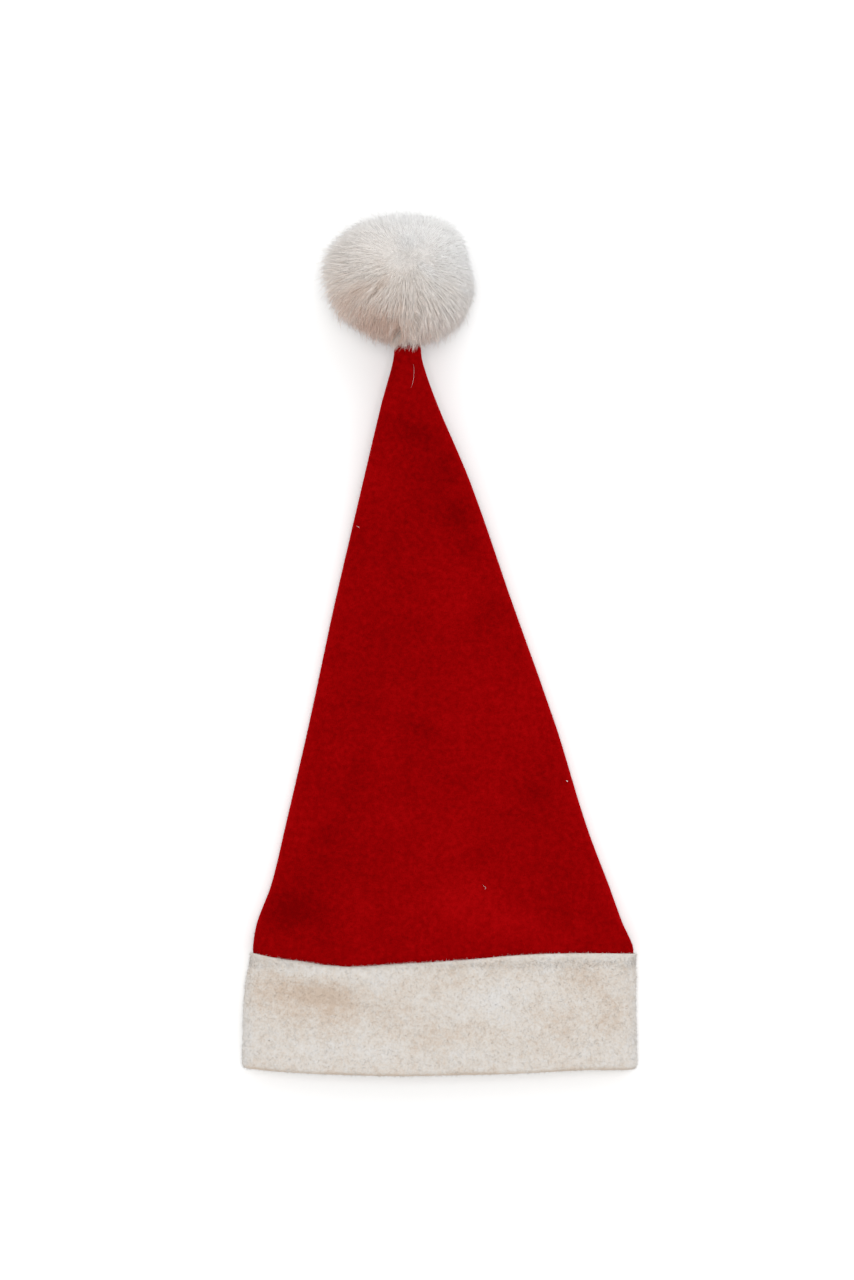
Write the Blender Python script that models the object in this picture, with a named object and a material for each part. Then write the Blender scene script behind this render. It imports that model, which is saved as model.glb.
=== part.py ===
"""Santa hat lying flat on its back: a cloth crown, a folded fleece cuff round its hem
and a fur pompom sewn to its tip.

Metres, +Z up, +Y from the cuff's rim to the pompom. While the pieces are shaped, Y is 0 at
the rim and X is 0 on the hat's middle line. The origin ends up on the floor, under the middle
of the hat's box.
"""

import math
import random
from bisect import bisect_right
from collections import namedtuple

import bmesh
import bpy
from mathutils import Quaternion, Vector

# Crown
CROWN_WIDTH = 0.254  # flat width at the hem, outside
CROWN_LENGTH = 0.4680  # hem to closed tip
CLOTH = 0.0020  # brushed knit cloth
LOFT = 0.0090  # how far the upper layer arches above the side folds, at the hem
TIP_BELOW = 0.0040  # the tip's middle lies this much lower than the pompom's

# Cuff
CUFF_DEPTH = 0.0725  # rim to upper edge, on the outside
CUFF_INSIDE = 0.0580  # rim to the end of the leg inside the crown
FLEECE = 0.0025  # each leg of the fold
INNER_FOLD = 0.0037  # radius of the folds at the two sides, inside the cuff

# How the hat lies
SETTLE = 0.0340  # beyond the cuff, the crown comes down to the floor over this distance
TIP_RISE = 0.2355  # length of crown that leaves the floor to reach the pompom

# Pompom
POMPOM_WIDTH = 0.1040
POMPOM_LENGTH = 0.0883  # along the hat
POMPOM_HEIGHT = 0.0840
POMPOM_SEAT = 0.42  # height of its middle, as a share of POMPOM_HEIGHT
FUR = 0.0013  # depth of the valleys between its locks, at the sides and on top
FUR_BELOW = 0.0010  # and underneath, where the floor presses the locks flat

FIT = 0.0003  # gap between pieces that touch

# Smoothness
UNDER_STEPS, FOLD_STEPS, TOP_STEPS = 4, 5, 22
SLEEVE_STEPS, LIP_STEPS, CROWN_STEPS = 5, 2, 27
EDGE_STEPS, RIM_STEPS = 4, 6
LOCK_LEVEL = 3

Section = namedtuple("Section", "along left right fold loft")
Wave = namedtuple("Wave", "across rim edge")
Dent = namedtuple("Dent", "along across length width turn depth")
Bulge = namedtuple("Bulge", "bearing reach")

# The crown from hem to tip: the outline's two edges as shares of CROWN_WIDTH from the middle
# line, the radius of the side folds as shares of SIDE_FOLD and the arch as shares of LOFT.
CROWN_SECTIONS = (
    Section(0.000, -0.500, 0.500, 1.00, 1.00),
    Section(0.157, -0.484, 0.500, 1.00, 0.95),
    Section(0.196, -0.469, 0.471, 0.90, 0.75),
    Section(0.253, -0.432, 0.435, 0.80, 0.85),
    Section(0.337, -0.396, 0.378, 0.76, 1.00),
    Section(0.478, -0.339, 0.300, 0.74, 1.00),
    Section(0.647, -0.272, 0.189, 0.72, 0.80),
    Section(0.816, -0.199, 0.080, 0.70, 0.50),
    Section(0.927, -0.149, -0.008, 0.68, 0.28),
    Section(0.982, -0.121, -0.044, 0.66, 0.15),
    Section(1.000, -0.116, -0.049, 0.64, 0.13),
)

# How the upper layer's rim and cuff edge wander towards the tip, as shares of CUFF_DEPTH, from
# one side of the hat to the other.
CUFF_WAVES = (
    Wave(-1.00, 0.030, 0.045),
    Wave(-0.75, 0.000, -0.023),
    Wave(-0.50, -0.018, -0.073),
    Wave(-0.20, -0.032, -0.050),
    Wave(0.10, -0.020, -0.014),
    Wave(0.40, 0.000, 0.032),
    Wave(0.70, 0.022, 0.050),
    Wave(1.00, 0.018, 0.036),
)

# Soft dents in the upper layer: the place as shares of CROWN_LENGTH and of the half-width
# there, the reach along and across the dent as shares of CROWN_WIDTH, its turn in degrees
# from +X, and the depth as a share of LOFT.
DENTS = (
    Dent(0.198, -0.73, 0.130, 0.052, 4.0, 0.42),
    Dent(0.363, -0.56, 0.250, 0.048, 75.0, 0.24),
    Dent(0.408, 0.18, 0.170, 0.042, -42.0, 0.24),
    Dent(0.253, 0.05, 0.150, 0.040, 36.0, 0.20),
    Dent(0.337, 0.62, 0.095, 0.055, 20.0, 0.22),
    Dent(0.731, 0.66, 0.300, 0.042, -66.0, 0.26),
    Dent(0.879, 0.05, 0.060, 0.040, 0.0, 0.18),
    Dent(0.099, -0.66, 0.150, 0.038, -12.0, 0.24),
    Dent(0.063, -0.33, 0.085, 0.042, -60.0, 0.14),
    Dent(0.128, 0.70, 0.075, 0.040, 8.0, 0.14),
)
DENT_MARGIN = 0.25  # dents fade out over this share of the half-width, at the side folds

# The pompom's outline from above: reach at each bearing from +X, as a share of the ellipse of
# POMPOM_WIDTH and POMPOM_LENGTH about its middle.
POMPOM_BULGES = (
    Bulge(0, 0.910),
    Bulge(45, 1.008),
    Bulge(90, 0.970),
    Bulge(120, 1.009),
    Bulge(165, 1.100),
    Bulge(210, 1.058),
    Bulge(235, 1.010),
    Bulge(270, 1.040),
    Bulge(315, 1.036),
    Bulge(360, 0.910),
)
TOWARDS_RIM = 270  # bearing of the crown's tip, seen from the pompom's middle
PRESSED = 1.20  # below, the ball would reach this much further if the floor weren't there

# Locks of fur
PARTING = Vector((-0.15, 0.10, 0.98)).normalized()  # they are combed away from here
COMB = math.radians(3)  # lean of a lock's tip, at most
LOCK_LENGTHS = (0.75, 1.0)
LOCK_SEED = 5
SEWN = 1.25  # no lock stands within this many half-widths of the middle of the crown's tip

TIP_DRAWN_IN = 0.25  # the closed tip's end is this share smaller than its last section
FOLD_LIMIT = 0.92  # side folds stay under this share of the half-width

# Sizes and places that follow from those above
SLEEVE = FIT + FLEECE  # the cuff's outer face lies this far outside the crown
SIDE_FOLD = INNER_FOLD + FLEECE + FIT + CLOTH
HEM = CLOTH / 2 + FIT + FLEECE  # also the radius of the cuff's fold, outside
TIP = HEM + CROWN_LENGTH
POMPOM_Z = POMPOM_SEAT * POMPOM_HEIGHT
TIP_UNDER = POMPOM_Z - TIP_BELOW - SIDE_FOLD * CROWN_SECTIONS[-1].fold


def ease(share):
    """0 to 1 with no slope at either end."""
    share = min(max(share, 0.0), 1.0)
    return share * share * (3 - 2 * share)


def between(rows, column, at):
    """A column's value between rows, on a smooth curve through them."""
    knots = [row[0] for row in rows]
    values = [getattr(row, column) for row in rows]
    last = len(rows) - 1
    at = min(max(at, knots[0]), knots[last])
    low = min(bisect_right(knots, at), last) - 1
    span = knots[low + 1] - knots[low]
    part = (at - knots[low]) / span

    def rise(row):
        before, after = max(row - 1, 0), min(row + 1, last)
        return (values[after] - values[before]) / (knots[after] - knots[before]) * span

    return (
        values[low] * (1 + 2 * part) * (1 - part) ** 2
        + rise(low) * part * (1 - part) ** 2
        + values[low + 1] * (3 - 2 * part) * part**2
        - rise(low + 1) * (1 - part) * part**2
    )


def section(y):
    """The crown's outside at a distance from the rim: edges, underside, side fold and arch."""
    share = (y - HEM) / CROWN_LENGTH
    left = CROWN_WIDTH * between(CROWN_SECTIONS, "left", share)
    right = CROWN_WIDTH * between(CROWN_SECTIONS, "right", share)
    resting = SLEEVE * (1 - ease((y - CUFF_DEPTH) / SETTLE))
    rising = TIP_UNDER * max(0.0, 1 - (TIP - y) / TIP_RISE) ** 2
    fold = SIDE_FOLD * between(CROWN_SECTIONS, "fold", share)
    arch = LOFT * between(CROWN_SECTIONS, "loft", share)
    return left, right, resting + rising, min(fold, FOLD_LIMIT * (right - left) / 2), arch


def around(y, push):
    """Round one cross-section, pushed outwards: x, z, how far it faces up, and reach across."""
    left, right, under, fold, arch = section(y)
    half, middle = (right - left) / 2, (left + right) / 2
    lean = math.atan2(2 * arch, half - fold)
    span = half - fold + fold * math.sin(lean)
    rise = span * math.tan(lean) / 2
    join = under + fold + fold * math.cos(lean)
    made = []

    def add(x, z, out_x, out_z, reach):
        made.append((x + push * out_x, z + push * out_z, out_z, reach))

    def add_fold(centre_x, from_turn, reach):
        for step in range(FOLD_STEPS):
            turn = from_turn + (math.pi - lean) * step / FOLD_STEPS
            out_x, out_z = math.cos(turn), math.sin(turn)
            add(centre_x + fold * out_x, under + fold + fold * out_z, out_x, out_z, reach)

    for step in range(UNDER_STEPS):
        add(left + fold + 2 * (half - fold) * step / UNDER_STEPS, under, 0, -1, 1)
    add_fold(right - fold, -math.pi / 2, 1)
    for step in range(TOP_STEPS):
        reach = 1 - 2 * step / TOP_STEPS
        out = Vector((math.tan(lean) * reach, 1)).normalized()
        add(middle + span * reach, join + rise * (1 - reach**2), out.x, out.y, reach)
    add_fold(left + fold, math.pi / 2 + lean, -1)
    return made


def dent_depth(x, y):
    """How far all the dents together press the upper layer down at a place."""
    depth = 0.0
    for dent in DENTS:
        centre_y = HEM + dent.along * CROWN_LENGTH
        left, right = section(centre_y)[:2]
        centre_x = (left + right) / 2 + dent.across * (right - left) / 2
        turn = math.radians(dent.turn)
        dx, dy = (x - centre_x) / CROWN_WIDTH, (y - centre_y) / CROWN_WIDTH
        lengthwise = (dx * math.cos(turn) + dy * math.sin(turn)) / dent.length
        crosswise = (dy * math.cos(turn) - dx * math.sin(turn)) / dent.width
        depth += LOFT * dent.depth * math.exp(-(lengthwise**2) - crosswise**2)
    return depth


def wander(x, y, upward):
    """How far the cuff's rim and edge have shifted towards the tip, the lower layer less."""
    across = 2 * x / CROWN_WIDTH
    rim = between(CUFF_WAVES, "rim", across)
    edge = between(CUFF_WAVES, "edge", across)
    shift = rim + (edge - rim) * min(max(y / CUFF_DEPTH, 0), 1)
    return CUFF_DEPTH * shift * ease(2 - y / CUFF_DEPTH) * (3 + upward) / 4


def ring(y, push=0.0):
    """The closed loop of points round the hat at a distance from the rim, pushed outwards."""
    points = []
    for x, z, upward, reach in around(y, push):
        press = dent_depth(x, y) * ease((1 - abs(reach)) / DENT_MARGIN)
        points.append(Vector((x, y + wander(x, y, upward), z - press)))
    return points


def extrude_loop(mesh, loop, points):
    """Extrudes a closed loop of vertices once, on to new points, and returns the new loop."""
    edges = [mesh.edges.get((loop[i - 1], loop[i])) for i in range(len(loop))]
    made = bmesh.ops.extrude_edge_only(mesh, edges=edges)["geom"]
    new = {item for item in made if isinstance(item, bmesh.types.BMVert)}
    following = []
    for vertex, point in zip(loop, points):
        ends = (edge.other_vert(vertex) for edge in vertex.link_edges)
        copy = next(end for end in ends if end in new)
        copy.co = point
        following.append(copy)
    return following


def skin(rings, closed):
    """A mesh over a row of rings. It joins the last to the first, or caps both ends."""
    mesh = bmesh.new()
    first = [mesh.verts.new(point) for point in rings[0]]
    for i in range(len(first)):
        mesh.edges.new((first[i - 1], first[i]))
    loop = first
    for points in rings[1:]:
        loop = extrude_loop(mesh, loop, points)
    if closed:
        extrude_loop(mesh, loop, rings[0])
        bmesh.ops.remove_doubles(mesh, verts=mesh.verts[:], dist=1e-6)
    else:
        mesh.faces.new(first)
        mesh.faces.new(loop)
    bmesh.ops.recalc_face_normals(mesh, faces=mesh.faces[:])
    bmesh.ops.triangulate(mesh, faces=mesh.faces[:], quad_method="FIXED")
    return mesh


def half_turn(y, start, end, way):
    """Stations and pushes round a half circle from one push to another, bulging one way in y."""
    radius = abs(end - start) / 2
    steps = RIM_STEPS if radius > FLEECE else EDGE_STEPS
    turns = [math.pi * step / steps for step in range(1, steps)]
    return [
        (y + way * radius * math.sin(t), (start + end) / 2 + (start - end) / 2 * math.cos(t))
        for t in turns
    ]


def sleeve_stations():
    """Distances from the rim where cuff and crown both have a ring: in both legs, and beyond."""
    inside = CUFF_INSIDE - FLEECE / 2
    outside = CUFF_DEPTH - FLEECE / 2
    shared = [HEM + (inside - HEM) * step / SLEEVE_STEPS for step in range(SLEEVE_STEPS + 1)]
    lip = [inside + (outside - inside) * step / LIP_STEPS for step in range(1, LIP_STEPS + 1)]
    return shared, lip


def crown():
    """The cloth bag: inside from closed tip to hem, round the hem, and outside to the tip."""
    shared, lip = sleeve_stations()
    stations = shared + lip
    for step in range(CROWN_STEPS):
        stations.append(CUFF_DEPTH + (TIP - CUFF_DEPTH) * (step / CROWN_STEPS) ** 1.2)
    inner_end = TIP - 2 * CLOTH
    inner = [y for y in stations if y < inner_end - CLOTH] + [inner_end]
    outer = [y for y in stations if y < TIP - 2 * CLOTH] + [TIP - CLOTH]
    rings = [ring(y, -CLOTH) for y in reversed(inner)] + [ring(y) for y in outer]
    end = ring(TIP)
    middle = sum(end, Vector()) / len(end)
    rings.append([point.lerp(middle, TIP_DRAWN_IN) for point in end])
    return skin(rings, closed=False)


def cuff():
    """The fleece band, folded at the rim, one leg outside the crown's hem and one inside it."""
    shared, lip = sleeve_stations()
    outside = shared + lip
    inner_face, inner_groove = -CLOTH - FIT - FLEECE, -CLOTH - FIT
    profile = [(y, SLEEVE) for y in reversed(outside)]
    profile += half_turn(HEM, SLEEVE, inner_face, -1)
    profile += [(y, inner_face) for y in shared]
    profile += half_turn(shared[-1], inner_face, inner_groove, 1)
    profile += [(y, inner_groove) for y in reversed(shared)]
    profile += half_turn(HEM, inner_groove, FIT, -1)
    profile += [(y, FIT) for y in outside]
    profile += half_turn(outside[-1], FIT, SLEEVE, 1)
    return skin([ring(y, push) for y, push in profile], closed=True)


def comb(point):
    """Turns a point of the round ball away from the parting, more so further out."""
    out = point.length - 1
    axis = PARTING.cross(point.normalized())
    return Quaternion(axis, COMB * out * abs(out) * axis.length) @ point


def furred(point, middle):
    """Takes a point of a round ball, head at 1 and locks' ends at 2, to its place on the hat."""
    out = point.length - 1
    way = comb(point).normalized()
    bearing = math.degrees(math.atan2(way.y * POMPOM_LENGTH, way.x * POMPOM_WIDTH)) % 360
    bulge = 1 + (between(POMPOM_BULGES, "reach", bearing) - 1) * (1 - way.z**2)
    x = way.x * (bulge * POMPOM_WIDTH / 2 - FUR * (1 - out))
    y = way.y * (bulge * POMPOM_LENGTH / 2 - FUR * (1 - out))
    if way.z > 0:
        z = way.z * (POMPOM_HEIGHT - middle.z - FUR * (1 - out))
    else:
        lowest = middle.z - FUR_BELOW * (1 - out)
        z = max(way.z * lowest * PRESSED, -lowest)
    return middle + Vector((x, y, z))


def pompom():
    """A head with a lock of fur on each face of a fine icosphere, save where the tip meets it."""
    rng = random.Random(LOCK_SEED)
    left, right, under, fold, arch = section(TIP)
    tip = Vector(((left + right) / 2, TIP, under + fold + arch / 2))
    reach = between(POMPOM_BULGES, "reach", TOWARDS_RIM) * POMPOM_LENGTH / 2
    middle = Vector((tip.x, TIP + FIT + reach - FUR, POMPOM_Z))
    mesh = bmesh.new()
    bmesh.ops.create_icosphere(mesh, subdivisions=LOCK_LEVEL, radius=1)

    def sewn(face):
        corners = [furred(vertex.co, middle) - tip for vertex in face.verts]
        return any(corner.length < SEWN * (right - left) / 2 for corner in corners)

    for base in [face for face in mesh.faces if not sewn(face)]:
        end = bmesh.ops.poke(mesh, faces=[base])["verts"][0]
        end.co = end.co.normalized() * (1 + rng.uniform(*LOCK_LENGTHS))
    for vertex in mesh.verts:
        vertex.co = furred(vertex.co, middle)
    bmesh.ops.recalc_face_normals(mesh, faces=mesh.faces[:])
    return mesh


def material(name, colour, roughness):
    """A plain dielectric finish."""
    made = bpy.data.materials.new(name)
    made.use_nodes = True
    shader = made.node_tree.nodes["Principled BSDF"]
    shader.inputs["Base Color"].default_value = (*colour, 1)
    shader.inputs["Roughness"].default_value = roughness
    shader.inputs["Metallic"].default_value = 0
    return made


def place(name, mesh, finish, parent):
    """Makes an object of a finished mesh and hangs it on its parent."""
    data = bpy.data.meshes.new(name)
    mesh.to_mesh(data)
    mesh.free()
    data.materials.append(finish)
    data.shade_smooth()
    data.set_sharp_from_angle(angle=math.radians(50))
    made = bpy.data.objects.new(name, data)
    made.parent = parent
    bpy.context.collection.objects.link(made)
    return made


def main():
    for old in list(bpy.data.objects):
        bpy.data.objects.remove(old)
    hat = bpy.data.objects.new("santa_hat", None)
    bpy.context.collection.objects.link(hat)
    pieces = (
        place("crown", crown(), material("crown_cloth", (0.270, 0.0012, 0.0022), 0.95), hat),
        place("cuff", cuff(), material("cuff_fleece", (0.67, 0.63, 0.58), 0.95), hat),
        place("pompom", pompom(), material("pompom_fur", (0.69, 0.64, 0.59), 0.90), hat),
    )
    corners = [Vector(corner) for piece in pieces for corner in piece.bound_box]
    low = Vector(min(corner[i] for corner in corners) for i in range(3))
    high = Vector(max(corner[i] for corner in corners) for i in range(3))
    hat.location = -Vector(((low.x + high.x) / 2, (low.y + high.y) / 2, low.z))


main()
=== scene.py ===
import math

import bmesh
import bpy
import numpy as np
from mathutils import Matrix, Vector, noise
from mathutils.bvhtree import BVHTree


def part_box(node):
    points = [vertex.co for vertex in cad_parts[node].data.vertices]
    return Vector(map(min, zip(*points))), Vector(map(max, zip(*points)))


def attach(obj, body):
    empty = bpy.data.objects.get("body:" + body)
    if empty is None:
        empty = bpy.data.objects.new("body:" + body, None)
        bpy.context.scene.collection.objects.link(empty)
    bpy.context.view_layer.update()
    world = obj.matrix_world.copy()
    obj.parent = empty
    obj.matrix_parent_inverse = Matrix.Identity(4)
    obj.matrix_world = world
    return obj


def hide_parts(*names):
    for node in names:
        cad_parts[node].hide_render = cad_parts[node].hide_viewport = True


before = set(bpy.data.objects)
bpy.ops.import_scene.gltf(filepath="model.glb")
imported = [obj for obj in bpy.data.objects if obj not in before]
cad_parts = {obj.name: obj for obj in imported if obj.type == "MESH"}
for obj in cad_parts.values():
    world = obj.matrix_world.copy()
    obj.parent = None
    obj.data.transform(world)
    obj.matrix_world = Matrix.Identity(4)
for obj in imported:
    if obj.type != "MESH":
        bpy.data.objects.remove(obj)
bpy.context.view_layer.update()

scene = bpy.context.scene
print("santa hat: frame loaded")

# The whole hat, in metres. While it is shaped, Y is 0 at the rim and X is 0 on its middle line.
hat = {
    "width": 0.254,  # of the crown at its hem, lying flat
    "length": 0.4725,  # hem to closed tip
    "cloth": 0.0020,
    "loft": 0.0090,  # how far the upper layer arches
    "tipBelow": 0.0040,
    "tipRise": 0.2400,
    "settle": 0.0340,  # past the cuff, the crown comes down to the floor over this distance
    "cuffDepth": 0.0725,
    "cuffInside": 0.0580,  # depth of the cuff's inner leg
    "fleece": 0.0025,
    "innerFold": 0.0037,
    "fit": 0.0003,  # gap at the seams
    "foldLimit": 0.92,
    "dentMargin": 0.25,  # dents fade out over this share beside the folds
    "pompomWidth": 0.1040,
    "pompomLength": 0.0883,
    "pompomHeight": 0.0840,
    "pompomSeat": 0.42,  # height of its widest part, as a share
    "pompomMiddle": 0.5167,  # distance from the rim
}

# share of the length; left edge, right edge, side fold and arch as shares
crownSections = (
    (0.0000, -0.500, 0.499, 1.00, 1.00),
    (0.0900, -0.494, 0.495, 1.00, 1.00),
    (0.1420, -0.482, 0.498, 1.00, 0.96),
    (0.1580, -0.4835, 0.500, 0.99, 0.94),
    (0.1939, -0.473, 0.473, 0.90, 0.75),
    (0.2502, -0.436, 0.437, 0.80, 0.85),
    (0.3335, -0.399, 0.380, 0.76, 1.00),
    (0.4732, -0.339, 0.300, 0.74, 1.00),
    (0.6410, -0.272, 0.189, 0.72, 0.80),
    (0.8078, -0.199, 0.080, 0.70, 0.50),
    (0.9183, -0.149, -0.008, 0.68, 0.28),
    (0.9725, -0.121, -0.044, 0.66, 0.15),
    (1.0000, -0.115, -0.050, 0.64, 0.12),
)

# across the hat; how far the rim and the cuff's edge have shifted, as shares of the cuff's depth
cuffWaves = (
    (-1.00, 0.030, 0.055),
    (-0.75, 0.000, -0.023),
    (-0.50, -0.012, -0.073),
    (-0.20, -0.020, -0.040),
    (0.10, -0.010, -0.003),
    (0.40, 0.000, 0.041),
    (0.70, 0.022, 0.053),
    (1.00, 0.018, 0.044),
)

# place along and across, length, width, turn in degrees and depth of each soft dent
dents = (
    (0.1960, -0.73, 0.130, 0.052, 4.0, 0.42),
    (0.3596, -0.56, 0.250, 0.048, 75.0, 0.24),
    (0.4044, 0.18, 0.170, 0.042, -42.0, 0.24),
    (0.2502, 0.05, 0.150, 0.040, 36.0, 0.20),
    (0.3335, 0.62, 0.095, 0.055, 20.0, 0.22),
    (0.7244, 0.66, 0.300, 0.042, -66.0, 0.26),
    (0.8703, 0.05, 0.060, 0.040, 0.0, 0.18),
    (0.0980, -0.66, 0.150, 0.038, -12.0, 0.24),
    (0.0625, -0.33, 0.085, 0.042, -60.0, 0.14),
    (0.1272, 0.70, 0.075, 0.040, 8.0, 0.14),
)

# Patches of painted shade and painted light on the crown: x, y, half-length and half-width in mm,
# turn in degrees, and how much darker. Less than 0 is brighter.
crownShadeAndLight = (
    (-92, 107, 21, 11, -8, 1.00), (-100, 98, 12, 9, 30, 0.50), (-72, 155, 13, 7, 20, 0.55),
    (-56, 192, 26, 6, 74, 0.40), (-50, 242, 14, 8, 0, 0.20), (-16, 417, 16, 7, -18, 0.75),
    (-22, 432, 7, 6, 0, 0.35), (2, 396, 10, 9, -50, 0.50), (11, 365, 8, 9, 0, 0.75),
    (18, 343, 9, 8, -60, 0.55), (36, 304, 10, 12, -60, 0.45), (52, 271, 12, 20, 0, 0.25),
    (63, 182, 12, 9, -30, 0.70), (41, 169, 17, 6, 0, 0.45), (11, 188, 14, 11, -30, 0.30),
    (-16, 225, 16, 6, -22, 0.45), (24, 142, 16, 5, 27, 0.35), (80, 132, 13, 9, -10, 0.30),
    (77, 103, 12, 8, 0, 0.30), (-36, 109, 9, 9, 0, 0.15), (10, 112, 28, 13, 12, -0.65),
    (44, 99, 26, 11, -8, -0.75), (-56, 104, 12, 17, 0, -0.40), (-30, 167, 13, 10, 0, -0.30),
    (-17, 360, 34, 60, 0, 0.30), (-82, 130, 24, 15, 0, 0.35),
    (-33, 205, 9, 17, 0, -0.30), (4, 300, 12, 9, 0, -0.25), (-33, 314, 10, 10, 0, -0.20),
)
# Patches of painted shade and painted light on the cuff, in the same columns
cuffShadeAndLight = (
    (-88, 53, 36, 9, -10, 0.95), (-90, 41, 34, 14, -4, 0.65), (-34, 29, 30, 13, 0, 0.45),
    (-108, 56, 9, 7, 0, 0.35),
    (98, 60, 25, 9, 4, 0.55), (84, 37, 30, 14, 0, 0.35), (-8, 58, 26, 9, 0, 0.30),
    (46, 52, 28, 9, 0, -0.55), (-70, 12, 46, 7, -3, -0.20), (10, 15, 55, 7, 0, -0.35),
    (18, 40, 30, 10, 0, -0.25), (-128, 34, 60, 5, 90, -0.50), (129, 34, 60, 6, 90, -0.45),
    (-112, 20, 9, 8, 0, 0.20), (-97, 69, 36, 5, -7, -0.50), (-50, 64, 28, 5, -4, -0.30),
)

# bearing seen from above; reach of the pompom's outline there
pompomBulges = (
    (0, 0.845), (15, 0.825), (30, 0.905), (45, 0.990), (60, 1.020), (75, 1.000), (90, 0.995),
    (105, 1.015), (120, 1.055), (165, 1.145), (180, 1.125), (210, 1.085), (235, 1.020),
    (270, 1.030), (315, 1.005), (332, 0.925), (360, 0.845),
)

# warm patches of painted shade and patches of painted light on the fur seen from above, in the same columns
# as the crown's patches
furShadeAndLight = (
    (-38.7, 506.5, 9, 2.8, 45, 0.26), (-56.5, 502.0, 12, 6, 15, 0.22), (-42.4, 481.4, 14, 7, -25, 0.20),
    (-27.7, 478.4, 4.5, 2.4, 90, 0.90), (-12.2, 488.8, 5, 1.8, 80, 0.30), (-39.0, 521.0, 5, 2.0, 50, 0.20),
    (-19.5, 537.5, 7, 6, 0, -0.25), (-6.3, 516.0, 10, 4, -35, -0.22), (-27.0, 524.0, 9, 6, 0, -0.12),
)

sleeve = hat["fit"] + hat["fleece"]
sideFold = hat["innerFold"] + hat["fleece"] + hat["fit"] + hat["cloth"]
hem = hat["cloth"] / 2 + hat["fit"] + hat["fleece"]
tip = hem + hat["length"]
pompomZ = hat["pompomSeat"] * hat["pompomHeight"]
tipUnder = pompomZ - hat["tipBelow"] - sideFold * crownSections[-1][3]


def ease(share):
    share = np.clip(share, 0, 1)
    return share * share * (3 - 2 * share)


def curveThrough(rows, column):  # a smooth curve through one column of a table
    knots = np.array([row[0] for row in rows], float)
    values = np.array([row[column] for row in rows], float)
    slopes = np.gradient(values)
    slopes[1:-1] = (values[2:] - values[:-2]) / (knots[2:] - knots[:-2])
    slopes[0] = (values[1] - values[0]) / (knots[1] - knots[0])
    slopes[-1] = (values[-1] - values[-2]) / (knots[-1] - knots[-2])

    def at(place):
        place = np.clip(place, knots[0], knots[-1])
        low = np.clip(np.searchsorted(knots, place, side="right"), 1, len(knots) - 1) - 1
        span = knots[low + 1] - knots[low]
        part = (place - knots[low]) / span
        return (
            values[low] * (1 + 2 * part) * (1 - part) ** 2
            + slopes[low] * span * part * (1 - part) ** 2
            + values[low + 1] * (3 - 2 * part) * part**2
            - slopes[low + 1] * span * (1 - part) * part**2
        )

    return at


def softWaves(places, size, seed):  # smooth wandering values about 0 from a few crossed waves
    rng = np.random.default_rng(seed)
    total = np.zeros(places.shape[:-1])
    for turn in range(7):
        way = rng.normal(size=3)
        way /= np.linalg.norm(way)
        pace = 2 * math.pi / (size * rng.uniform(0.75, 1.5))
        total += np.sin(places @ way * pace + rng.uniform(0, 2 * math.pi))
    return total / 7**0.5


def unit(ways):
    return ways / np.maximum(np.linalg.norm(ways, axis=-1, keepdims=True), 1e-9)


leftCurve, rightCurve, foldCurve, loftCurve = (curveThrough(crownSections, k) for k in (1, 2, 3, 4))
rimCurve, edgeCurve = (curveThrough(cuffWaves, k) for k in (1, 2))
bulgeCurve = curveThrough(pompomBulges, 1)


def sectionAt(y):  # edges, underside, side fold and arch of the crown at a distance from the rim
    share = (y - hem) / hat["length"]
    left = hat["width"] * leftCurve(share)
    right = hat["width"] * rightCurve(share)
    resting = sleeve * (1 - ease((y - hat["cuffDepth"]) / hat["settle"]))
    rising = tipUnder * np.maximum(0, 1 - (tip - y) / hat["tipRise"]) ** 2
    fold = np.minimum(sideFold * foldCurve(share), hat["foldLimit"] * (right - left) / 2)
    return left, right, resting + rising, fold, hat["loft"] * loftCurve(share)


def dentDepth(x, y):
    depth = np.zeros(np.broadcast(x, y).shape)
    for along, across, length, width, turned, deep in dents:
        centreY = hem + along * hat["length"]
        left, right = sectionAt(np.array(centreY))[:2]
        centreX = (left + right) / 2 + across * (right - left) / 2
        turn = math.radians(turned)
        dx, dy = (x - centreX) / hat["width"], (y - centreY) / hat["width"]
        lengthwise = (dx * math.cos(turn) + dy * math.sin(turn)) / length
        crosswise = (dy * math.cos(turn) - dx * math.sin(turn)) / width
        depth += hat["loft"] * deep * np.exp(-(lengthwise**2) - crosswise**2)
    return depth


def patchShade(patches, x, y):  # how much painted shade the listed patches put on a place; less than 0 is painted light
    shade = np.zeros(np.broadcast(x, y).shape)
    for middleX, middleY, length, width, turned, amount in patches:
        turn = math.radians(turned)
        dx, dy = 1000 * x - middleX, 1000 * y - middleY
        lengthwise = (dx * math.cos(turn) + dy * math.sin(turn)) / length
        crosswise = (dy * math.cos(turn) - dx * math.sin(turn)) / width
        shade += amount * np.exp(-(lengthwise**2) - crosswise**2)
    return shade


def wander(x, y, upward):  # how far the cuff's rim and edge have shifted towards the tip
    across = 2 * x / hat["width"]
    rim, edge = rimCurve(across), edgeCurve(across)
    shift = rim + (edge - rim) * np.clip(y / hat["cuffDepth"], 0, 1)
    return hat["cuffDepth"] * shift * ease(2 - y / hat["cuffDepth"]) * (3 + upward) / 4


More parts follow.
